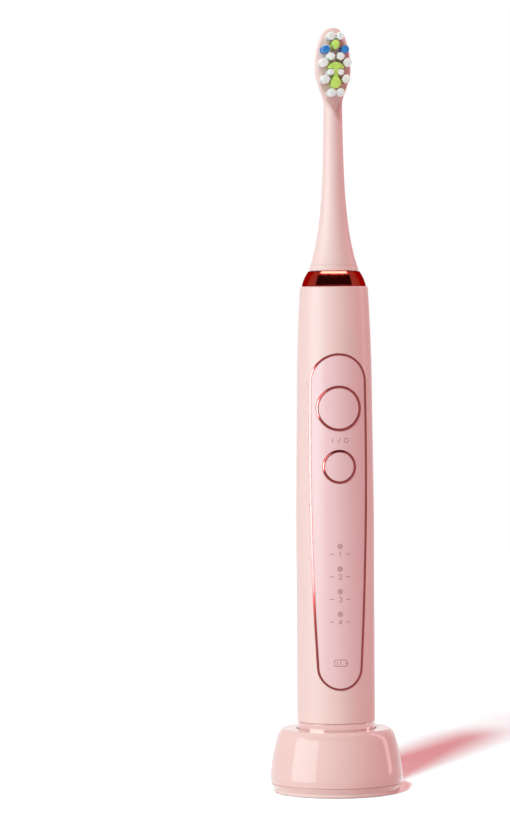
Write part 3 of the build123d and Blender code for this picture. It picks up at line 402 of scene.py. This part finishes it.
# The green cap with its stem, between the white tufts
cap_reach = 2.55 * MM
cap_middle = head_tip - 15.1 * MM
cap_foot = head_tip - 14.2 * MM
cap_crown = head_tip - 13 * MM
stem_foot = head_tip - 18.2 * MM
stem_half_width = 0.8 * MM
cap_clearance = 0.1  # mm, from the green filaments to a white tuft
cap_plugs = (-1.2, 1.2)  # mm, sideways
cap_plug_radius = 1.1 * MM


def inside_cap(x, z):
    """Whether a place belongs to the green cap or its stem, and to no white tuft."""
    for across, drop, radius in white_pairs:
        if math.hypot(abs(x) - across * MM, z - head_tip + drop * MM) < (radius + cap_clearance) * MM:
            return False
    in_cap = math.hypot(x, z - cap_middle) < cap_reach and z > cap_foot
    in_stem = abs(x) < stem_half_width and stem_foot < z <= cap_foot
    return in_cap or in_stem


def filament_piece(name, mesh_parts, finish):
    """One colour of filament as a piece that rides on the brush head."""
    return mesh_piece(name, *mesh_parts, finish, finish, "brush_head")


def brush_pieces():
    """The three colours of filament, each one piece that stands for its CAD node."""
    white, blue, green = ([], []), ([], []), ([], [])
    for across, drop, radius in white_pairs:
        for side in (-1, 1):
            add_tuft(*white, (side * across, drop, radius))
    across, drop, radius = blue_pair
    for side in (-1, 1):
        add_tuft(*blue, (side * across, drop, radius), shorter=coloured_drop)
    for tuft, tall in green_spots:
        add_tuft(*green, tuft, tall, shorter=coloured_drop, widest_plug=widest_green_plug)
    spots = grid_spots(inside_cap, -cap_reach, cap_reach, stem_foot, cap_middle + cap_reach)
    grow(*green, spots, (0, cap_crown), cap_reach, shorter=coloured_drop)
    for x in cap_plugs:
        add_plug(*green, (x * MM, cap_crown), cap_plug_radius)

    white_piece = filament_piece("white_filaments", white, "white_nylon")
    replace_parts(white_piece, "white_bristles")
    blue_piece = filament_piece("blue_filaments", blue, "blue_nylon")
    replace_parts(blue_piece, "blue_bristles")
    green_piece = filament_piece("green_filaments", green, "green_nylon")
    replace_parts(green_piece, "green_bristles")
    return [white_piece, blue_piece, green_piece]


filaments = brush_pieces()

# ---------------------------------------------------------------- rings and fairing
turned_sides = 128


def turned(name, outline, base, finish, body, smooth=True):
    """A ring turned round the axis from a closed outline of (radius, height over base) in mm."""
    vertices = []
    for i in range(turned_sides):
        angle = 2 * math.pi * i / turned_sides
        for radius, rise in outline:
            x, y = radius * MM * math.cos(angle), radius * MM * math.sin(angle)
            vertices.append((x, y, base + rise * MM))
    faces = loop_faces(turned_sides, len(outline))
    return mesh_piece(name, vertices, faces, finish, finish, body, smooth=smooth)


# The soft ring that closes the slit between the collar and the brush head
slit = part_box("nose_collar")[1].z + 0.02 * MM
gasket = [(6.3, 0), (8.3, 0), (8.4, 0.06), (8.4, 0.14), (8.3, 0.2), (6.3, 0.2)]
turned("collar_gasket", gasket, slit, "seal_rubber", "handle", smooth=False)

# The soft foot, carried up over the chamfer under the base plate
foot = [(18.0, 0.4), (18.0, 0), (21.3, 0), (21.75, 0.08), (22.05, 0.3), (22.25, 0.65), (22.35, 1.0)]
foot += [(22.38, 1.4), (22.0, 1.25), (20.15, 0.42)]
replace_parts(turned("foot_ring_full", foot, 0, "foot_rubber", "charger"), "foot_ring")


def neck_fairing(first=25.0, full=30.0, last=33.8):
    """Carries the neck's round front up to the tufts, with heights in mm below the head's tip."""
    rows, columns = 44, 24
    least_half_width = 0.05 * MM
    lift = 0.004 * MM  # proud of the CAD face
    head = surface_of("head_body")
    vertices = []
    for row in range(rows + 1):
        drop = first + (last - first) * row / rows
        z = head_tip - drop * MM
        radius = -head.ray_cast(Vector((-outside, 0, z)), Vector((1, 0, 0)))[0].x
        cut = front_of(head, 0, z).y
        half = math.sqrt(max(radius**2 - cut**2, least_half_width**2))
        way = min(1.0, (drop - first) / (full - first))
        share = way * way * (3 - 2 * way)
        for column in range(columns + 1):
            x = half * math.sin(math.radians(90 * (2 * column / columns - 1)))
            rise = math.sqrt(radius**2 - x**2) + cut
            vertices.append((x, cut - share * rise - lift, z))
    faces = sheet_faces(rows, columns)
    mesh_piece("neck_fairing", vertices, faces, "satin_shell", "shell_pink", "brush_head")


neck_fairing()


def ring_bezel(node, slope):
    """A polished ring with a broad outer slope that stands for a button's plain CAD ring."""
    turns = 96
    half_width, slope_width, crest_height, depth = 0.4, 0.56, 0.08, 0.6
    low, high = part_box(node)
    middle = (low.z + high.z) / 2
    radius = (high.z - low.z) / 2 - half_width * MM
    surface = surface_of(node)
    fall = math.tan(math.radians(slope))
    # (outwards from the ring's middle line, above the CAD ring's face) in mm: the inner wall and crest,
    # then the foot of the slope and the outer wall
    profile = [(-half_width, -depth), (-half_width, -0.02), (-0.32, 0.06), (-0.2, crest_height)]
    profile += [(0.36, crest_height - slope_width * fall), (0.44, -0.04 - 0.6 * fall), (0.46, -depth)]
    vertices = []
    for i in range(turns):
        angle = 2 * math.pi * i / turns
        spoke = Vector((math.cos(angle), 0, math.sin(angle)))
        crest = front_of(surface, radius * spoke.x, middle + radius * spoke.z)
        out = Vector((crest.x, crest.y, 0)).normalized()
        across = (spoke - spoke.dot(out) * out).normalized()
        vertices += [crest + side * MM * across + rise * MM * out for side, rise in profile]
    faces = loop_faces(turns, len(profile))
    name = node + "_bezel"
    bezel = mesh_piece(name, vertices, faces, "rose_gold", "rose_gold", "handle", smooth=False)
    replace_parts(bezel, node)
    return bezel


bezels = [ring_bezel("power_button_ring", slope=10), ring_bezel("mode_button_ring", slope=18)]

# ---------------------------------------------------------------- printed marks
mark_stroke = 0.26 * MM
mark_lift = 0.012 * MM  # proud of the panel
mark_step = 0.25 * MM
mark_height = 1.7 * MM
switch_spread = 2.4 * MM  # from the slash to the signs beside it
dash_spread = 2.9 * MM  # from a mode's number to the dashes beside it
mode_drop = 2.7 * MM  # from a mode's light to its number
light_pitch = 7.93 * MM
guide_low, guide_high = (corner.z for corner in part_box("light_guide"))
first_light = guide_high - 2.0 * MM
battery_height = guide_low - 15.1 * MM
switch_height = (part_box("power_button_ring")[0].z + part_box("mode_button_ring")[1].z) / 2
panel_surface = surface_of("front_panel")


def on_panel(x, z):
    """The point on the panel's face, just proud of it."""
    return front_of(panel_surface, x, z) + Vector((0, -mark_lift, 0))


def stroke_ribbon(vertices, faces, points):
    """A flat ribbon of the printing's stroke along a line of (x, z) points, laid on the panel."""
    dense = [points[0]]
    for (ax, az), (bx, bz) in zip(points, points[1:]):
        steps = max(1, int(math.hypot(bx - ax, bz - az) / mark_step))
        for i in range(1, steps + 1):
            dense.append((ax + (bx - ax) * i / steps, az + (bz - az) * i / steps))
    start = len(vertices)
    for i, (x, z) in enumerate(dense):
        before = dense[max(i - 1, 0)]
        after = dense[min(i + 1, len(dense) - 1)]
        run = math.hypot(after[0] - before[0], after[1] - before[1])
        across = ((before[1] - after[1]) / run, (after[0] - before[0]) / run)
        for side in (-0.5, 0.5):
            edge_x, edge_z = x + across[0] * side * mark_stroke, z + across[1] * side * mark_stroke
            vertices.append(on_panel(edge_x, edge_z))
    for i in range(len(dense) - 1):
        a = start + 2 * i
        faces.append((a, a + 2, a + 3, a + 1))


def arc(cx, cz, radius_x, radius_z, first, last, steps=14):
    """Points on an ellipse's arc, angles in degrees."""
    points = []
    for i in range(steps + 1):
        angle = math.radians(first + (last - first) * i / steps)
        points.append((cx + radius_x * math.cos(angle), cz + radius_z * math.sin(angle)))
    return points


# The lines of each sign as (x, z) points, x from its middle and z from its foot, in heights of the sign
glyphs = {
    "1": [[(-0.18, 0.78), (0.06, 1.0), (0.06, 0.0)]],
    "2": [arc(0, 0.7, 0.3, 0.3, 165, -25) + [(-0.3, 0.0), (0.32, 0.0)]],
    "3": [arc(0, 0.75, 0.27, 0.25, 150, -80) + arc(0, 0.26, 0.31, 0.27, 80, -150)],
    "4": [[(0.16, 0.0), (0.16, 1.0), (-0.32, 0.3), (0.34, 0.3)]],
    "I": [[(0, 0), (0, 1)]],
    "O": [arc(0, 0.5, 0.42, 0.5, 0, 360, 28)],
    "/": [[(-0.25, -0.08), (0.25, 1.08)]],
    "-": [[(-0.45, 0.5), (0.45, 0.5)]],
}


def print_piece(name, lines):
    """Lines of (x, z) points as one printed piece."""
    vertices, faces = [], []
    for points in lines:
        stroke_ribbon(vertices, faces, points)
    mesh_piece(name, vertices, faces, "grey_print", "part_black", "handle", smooth=False)


def print_signs(name, signs, middle):
    """A row of signs round a height: (sign, sideways place) pairs."""
    lines = []
    for sign, x in signs:
        for line in glyphs[sign]:
            lines.append([(x + px * mark_height, middle + (pz - 0.5) * mark_height) for px, pz in line])
    print_piece(name, lines)


def print_battery(name, middle):
    """The outline of a battery with a terminal at its right end and two bars of charge."""
    half_width, half_height = 2.1 * MM, 1.1 * MM
    terminal_x, terminal_half = half_width + 0.35 * MM, 0.5 * MM
    bars_x, bar_half = (-1.1 * MM, 0), 0.6 * MM
    corners = ((-1, -1), (1, -1), (1, 1), (-1, 1), (-1, -1))
    lines = [[(x * half_width, middle + z * half_height) for x, z in corners]]
    lines.append([(terminal_x, middle - terminal_half), (terminal_x, middle + terminal_half)])
    for x in bars_x:
        lines.append([(x, middle - bar_half), (x, middle + bar_half)])
    print_piece(name, lines)


print_signs("switch_mark", [("I", -switch_spread), ("/", 0), ("O", switch_spread)], switch_height)
for number in range(4):
    signs = [("-", -dash_spread), (str(number + 1), 0), ("-", dash_spread)]
    print_signs(f"mode_mark_{number + 1}", signs, first_light - number * light_pitch - mode_drop)
print_battery("battery_mark", battery_height)

# ---------------------------------------------------------------- studio
# In metres and degrees, the lens and sensor in mm. Azimuth 0 is in front of the object, and positive to
# the right as seen from there.
camera_distance = 1.43
camera_height = 0.1787
camera_azimuth = -7.0
camera_lens = 179.83
camera_sensor = 36
camera_pan = 1.122
camera_tilt = 1.704
camera_roll = -0.35
camera_clip = (0.05, 50)
lamp_aim = 0.1  # height on the handle's axis that most lamps face
floor_reach = 1.2
paper = (0.85, 0.80, 0.80)
board_colour = (0.02, 0.012, 0.012)
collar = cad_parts["nose_collar"]
panel_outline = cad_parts["panel_trim"]
collar_middle = (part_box("nose_collar")[0].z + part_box("nose_collar")[1].z) / 2


def around(azimuth, elevation, distance, centre=Vector((0, 0, 0))):
    """A point at a distance from a centre."""
    turn, rise = math.radians(azimuth), math.radians(elevation)
    level = math.cos(rise)
    return centre + distance * Vector((math.sin(turn) * level, -math.cos(turn) * level, math.sin(rise)))


def make_camera():
    """The camera, a little to the left of the object and level with the barrel's upper end."""
    data = bpy.data.cameras.new("camera")
    data.lens = camera_lens
    data.sensor_width = camera_sensor
    data.clip_start, data.clip_end = camera_clip
    camera = bpy.data.objects.new("camera", data)
    bpy.context.scene.collection.objects.link(camera)
    place = around(camera_azimuth, 0, camera_distance) + Vector((0, 0, camera_height))
    turn = Matrix.Rotation(math.radians(camera_azimuth + camera_pan), 4, "Z")
    turn @= Matrix.Rotation(math.radians(90 - camera_tilt), 4, "X")
    turn @= Matrix.Rotation(math.radians(camera_roll), 4, "Z")
    camera.matrix_world = Matrix.Translation(place) @ turn
    bpy.context.scene.camera = camera


def add_lamp(name, kind, colour, away):
    """A lamp that shines from a direction, given as a vector from its aim towards it."""
    data = bpy.data.lights.new(name, kind)
    data.color = colour
    lamp = bpy.data.objects.new(name, data)
    bpy.context.scene.collection.objects.link(lamp)
    lamp.rotation_mode = "QUATERNION"
    lamp.rotation_quaternion = (-away).to_track_quat("-Z", "Y")
    return lamp


def key_light(azimuth, elevation, strength, angle, colour):
    """The broad key light, far enough away to fall evenly on object and floor."""
    lamp = add_lamp("key", "SUN", colour, around(camera_azimuth + azimuth, elevation, 1))
    lamp.data.energy = strength
    lamp.data.angle = math.radians(angle)
    lamp.visible_glossy = False


def softbox(
    name, azimuth, elevation, distance, width, height, radiance, colour=(1, 1, 1), aim_height=lamp_aim
):
    """A rectangular lamp given by its radiance, its azimuth counted from the camera's."""
    aim = Vector((0, 0, aim_height))
    place = around(camera_azimuth + azimuth, elevation, distance, aim)
    lamp = add_lamp(name, "AREA", colour, place - aim)
    lamp.location = place
    lamp.data.shape = "RECTANGLE"
    lamp.data.size = width
    lamp.data.size_y = height
    lamp.data.energy = radiance * math.pi * width * height
    return lamp


def seen_directly(nodes, links):
    """1 for camera, glossy and transmission rays, else 0."""
    path = nodes.new("ShaderNodeLightPath")
    first = nodes.new("ShaderNodeMath")
    first.operation = "MAXIMUM"
    links.new(path.outputs["Is Camera Ray"], first.inputs[0])
    links.new(path.outputs["Is Glossy Ray"], first.inputs[1])
    second = nodes.new("ShaderNodeMath")
    second.operation = "MAXIMUM"
    links.new(first.outputs["Value"], second.inputs[0])
    links.new(path.outputs["Is Transmission Ray"], second.inputs[1])
    return second.outputs["Value"]


def make_world(ambient):
    """A white backdrop where it is seen, and a reddish fill where it lights."""
    world = bpy.data.worlds.new("studio")
    world.use_nodes = True
    bpy.context.scene.world = world
    nodes, links = world.node_tree.nodes, world.node_tree.links
    fill = nodes["Background"]
    fill.inputs["Color"].default_value = (*ambient, 1)
    white = nodes.new("ShaderNodeBackground")
    white.inputs["Color"].default_value = (1, 1, 1, 1)
    mix = nodes.new("ShaderNodeMixShader")
    links.new(seen_directly(nodes, links), mix.inputs["Fac"])
    links.new(fill.outputs["Background"], mix.inputs[1])
    links.new(white.outputs["Background"], mix.inputs[2])
    links.new(mix.outputs["Shader"], nodes["World Output"].inputs["Surface"])


def glowing_paper(nodes, links, colour, glow):
    """A diffuse shader with a little light of its own."""
    diffuse = nodes.new("ShaderNodeBsdfDiffuse")
    diffuse.inputs["Color"].default_value = (*colour, 1)
    emission = nodes.new("ShaderNodeEmission")
    emission.inputs["Color"].default_value = (*glow, 1)
    both = nodes.new("ShaderNodeAddShader")
    links.new(diffuse.outputs["BSDF"], both.inputs[0])
    links.new(emission.outputs["Emission"], both.inputs[1])
    return both.outputs["Shader"]


def make_floor(shadow, light_share, bounce):
    """A floor that looks white with a pink shadow, but lights the object as faintly glowing paper.

    The light share is how much of its light the floor shows, above 1 so that only the shadow isn't white.
    """
    corners = [(x * floor_reach, y * floor_reach, 0) for x, y in ((-1, -1), (1, -1), (1, 1), (-1, 1))]
    mesh = bpy.data.meshes.new("floor")
    mesh.from_pydata(corners, [], [(0, 1, 2, 3)])
    floor = bpy.data.objects.new("floor", mesh)
    bpy.context.scene.collection.objects.link(floor)
    material = bpy.data.materials.new("floor")
    material.use_nodes = True
    nodes, links = material.node_tree.nodes, material.node_tree.links
    nodes.remove(nodes["Principled BSDF"])
    mix = nodes.new("ShaderNodeMixShader")
    links.new(seen_directly(nodes, links), mix.inputs["Fac"])
    links.new(glowing_paper(nodes, links, paper, bounce), mix.inputs[1])
    links.new(glowing_paper(nodes, links, light_share, shadow), mix.inputs[2])
    links.new(mix.outputs["Shader"], nodes["Material Output"].inputs["Surface"])
    mesh.materials.append(material)
    return floor


def link_light(lamp, objects, state):
    """Lets a lamp or glowing board light only these objects, or all but these."""
    chosen = bpy.data.collections.new(lamp.name + "_reach")
    for item in objects:
        chosen.objects.link(item)
    for entry in chosen.collection_objects:
        entry.light_linking.link_state = state
    lamp.light_linking.receiver_collection = chosen


def mirrored(turn, rise):
    """Where a wall that is turned and tilted up by these angles mirrors the camera's line of sight."""
    facing = around(turn, rise, 1)
    sight = Vector((0, -1, 0))
    return 2 * facing.dot(sight) * facing - sight


def curved_board(name, reach, half_turn, low, high, strength):
    """A curved board that only the collar's reflections show, between two tilts of the collar's wall."""
    columns, rows = 12, 6
    points = []
    for row in range(rows + 1):
        for column in range(columns + 1):
            turn = half_turn * (2 * column / columns - 1)
            points.append(reach * mirrored(turn, low + (high - low) * row / rows))
    spin = Matrix.Rotation(math.radians(camera_azimuth), 4, "Z")
    spin = Matrix.Translation((0, 0, collar_middle)) @ spin
    mesh = bpy.data.meshes.new(name)
    mesh.from_pydata([spin @ point for point in points], [], sheet_faces(rows, columns))
    material = bpy.data.materials.new(name)
    material.use_nodes = True
    principled = material.node_tree.nodes["Principled BSDF"]
    principled.inputs["Base Color"].default_value = (*board_colour, 1)
    principled.inputs["Emission Color"].default_value = (1, 1, 1, 1)
    principled.inputs["Emission Strength"].default_value = strength
    mesh.materials.append(material)
    board = bpy.data.objects.new(name, mesh)
    bpy.context.scene.collection.objects.link(board)
    board.visible_camera = False
    board.visible_diffuse = False
    board.visible_shadow = False
    board.visible_transmission = False
    link_light(board, [collar], "INCLUDE")


make_camera()
make_world(ambient=(0.43, 0.084, 0.094))
floor = make_floor(shadow=(0.08, 0.06, 0.055), light_share=(1.5, 2.55, 2.52), bounce=(0.08, 0.06, 0.06))
key_light(azimuth=-17, elevation=43, strength=1.56, angle=7, colour=(0.67, 1, 1))

left = softbox(
    "left_softbox", azimuth=-60, elevation=7, distance=0.9,
    width=0.8, height=1.05, radiance=3.1, colour=(0.61, 1, 1),
)
right = softbox(
    "right_strip", azimuth=108, elevation=14, distance=0.9,
    width=0.17, height=1.2, radiance=3.2, colour=(1, 0.74, 0.75),
)
back = softbox(
    "back_softbox", azimuth=176, elevation=12, distance=1.0,
    width=0.8, height=0.8, radiance=4.0, colour=(0.66, 1, 1),
)
glint = softbox(
    "glint", azimuth=-74, elevation=10, distance=0.9,
    width=0.3, height=0.8, radiance=20.0, aim_height=0.12,
)
tuft_light = softbox(
    "tuft_light", azimuth=-5, elevation=12, distance=0.9,
    width=0.3, height=0.3, radiance=9.0, aim_height=0.25,
)
front = softbox(
    "front_softbox", azimuth=-6, elevation=10, distance=1.3,
    width=0.5, height=0.5, radiance=1.3, colour=(0.05, 1, 1),
)
back.visible_glossy = False
front.visible_glossy = False
for lamp in (left, right, back):
    link_light(lamp, [floor, collar, panel_outline], "EXCLUDE")
link_light(tuft_light, filaments, "INCLUDE")
link_light(front, [floor, panel_outline], "EXCLUDE")
link_light(glint, [panel_outline, *bezels], "INCLUDE")

# Seen only as reflections in the collar: a dark band and a bright line
curved_board("dark_board", reach=0.8, half_turn=34, low=13, high=30, strength=0)
curved_board("bright_board", reach=0.12, half_turn=28, low=30.8, high=34.2, strength=34)
bpy.context.scene.view_settings.view_transform = "Standard"
